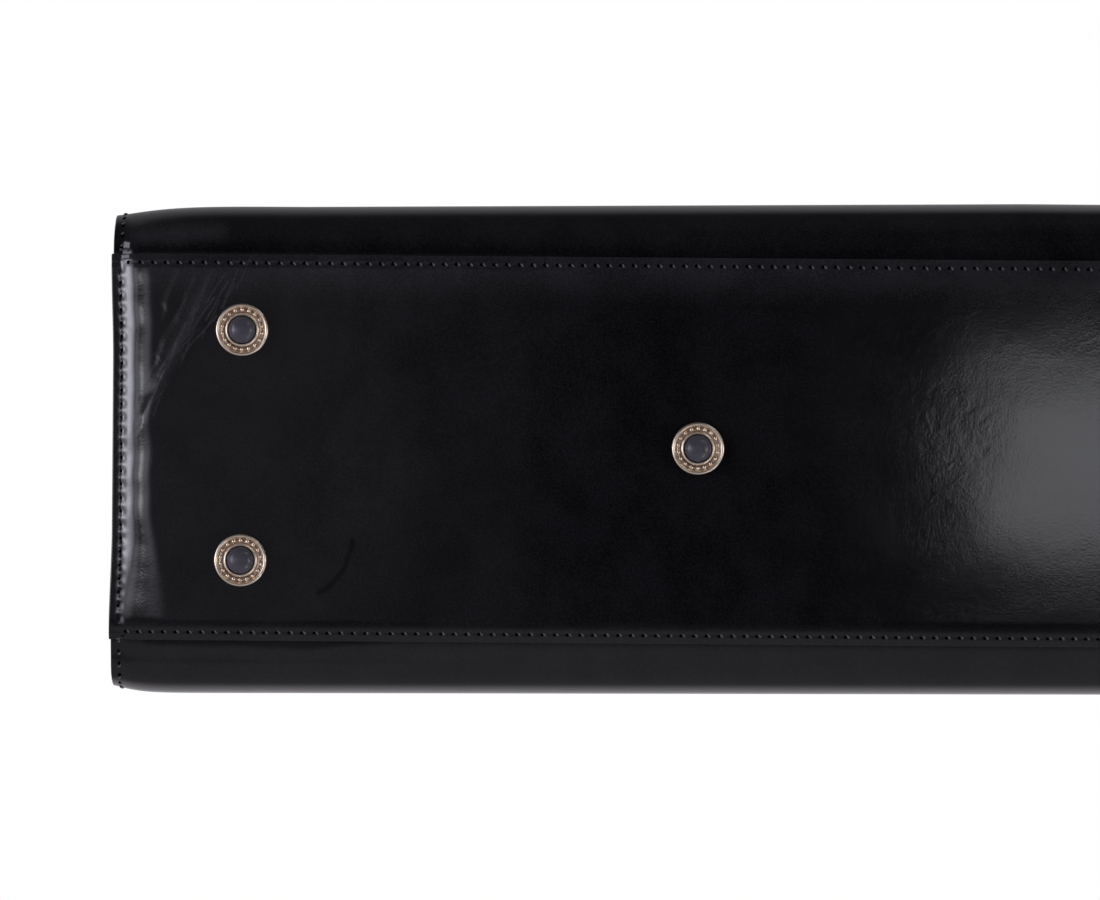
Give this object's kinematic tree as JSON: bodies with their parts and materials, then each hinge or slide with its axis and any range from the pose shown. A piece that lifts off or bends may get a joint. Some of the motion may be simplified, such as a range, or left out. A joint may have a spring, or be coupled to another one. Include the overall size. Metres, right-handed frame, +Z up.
{
  "type": "doctor bag",
  "caption": "Black leather doctor bag with a hinged mouth frame, a lock, a top handle and round metal-ringed feet under its flat base.",
  "frame": {"origin": "on the floor, under the middle of the base", "axes": "+X along the base, -Y towards the front wall, +Z up"},
  "size_m": [0.432, 0.178, 0.36],
  "materials": {
    "black_leather": "glossy black with fine grain",
    "lining_cloth": "plain tan weave",
    "fibre_board": "grey fibre board",
    "pale_gold": "polished pale gold",
    "steel": "plain steel",
    "stud_rubber": "smooth dark grey"
  },
  "bodies": {
    "body": {"base_panel": "black_leather", "base_filler": "fibre_board", "base_board": "fibre_board", "base_lining": "lining_cloth", "foot_rings": "pale_gold", "foot_studs": "stud_rubber", "foot_posts": "steel", "foot_washers": "steel", "front_panel": "black_leather", "back_panel": "black_leather", "left_gusset": "black_leather", "right_gusset": "black_leather", "front_board": "fibre_board", "back_board": "fibre_board", "left_end_board": "fibre_board", "right_end_board": "fibre_board", "front_lining": "lining_cloth", "back_lining": "lining_cloth", "left_gusset_lining": "lining_cloth", "right_gusset_lining": "lining_cloth", "left_hinge_bracket": "steel", "right_hinge_bracket": "steel", "hinge_bracket_rivets": "steel", "left_hinge_pin": "pale_gold", "right_hinge_pin": "pale_gold"},
    "front_frame": {"front_rail": "steel", "front_rail_cover": "black_leather", "strike_plate": "pale_gold", "strike_screws": "pale_gold"},
    "rear_frame": {"rear_rail": "steel", "rear_rail_cover": "black_leather", "lock_case": "pale_gold", "lock_screws": "pale_gold", "left_handle_bracket": "pale_gold", "right_handle_bracket": "pale_gold", "handle_bracket_screws": "pale_gold", "left_handle_pin": "pale_gold", "right_handle_pin": "pale_gold"},
    "handle": {"left_ferrule": "pale_gold", "right_ferrule": "pale_gold", "handle_core": "steel", "handle_grip": "black_leather"},
    "lock_slide": {"lock_slide": "pale_gold"},
    "key_barrel": {"key_barrel": "pale_gold"}
  },
  "joints": [
    {"name": "front_open", "type": "hinge", "parent": "body", "child": "front_frame", "pos_m": [0, 0, 0.16], "axis": [1, 0, 0], "range_deg": [0, 30], "deforming": ["front_panel", "front_lining", "left_gusset", "right_gusset", "left_gusset_lining", "right_gusset_lining"]},
    {"name": "rear_open", "type": "hinge", "parent": "body", "child": "rear_frame", "pos_m": [0, 0, 0.16], "axis": [1, 0, 0], "range_deg": [-30, 0], "deforming": ["back_panel", "back_lining"]},
    {"name": "handle_swing", "type": "hinge", "parent": "rear_frame", "child": "handle", "pos_m": [0, 0.0065, 0.297], "axis": [1, 0, 0], "range_deg": [-85, 85]},
    {"name": "lock_slide_travel", "type": "slide", "parent": "rear_frame", "child": "lock_slide", "axis": [1, 0, 0], "range_m": [0, 0.006]},
    {"name": "key_turn", "type": "hinge", "parent": "rear_frame", "child": "key_barrel", "pos_m": [0.017, 0.0065, 0.285], "axis": [0, 0, 1], "range_deg": [0, 90]}
  ],
  "couplings": [
    {"joint": "rear_open", "follows": "front_open", "ratio": -1}
  ]
}
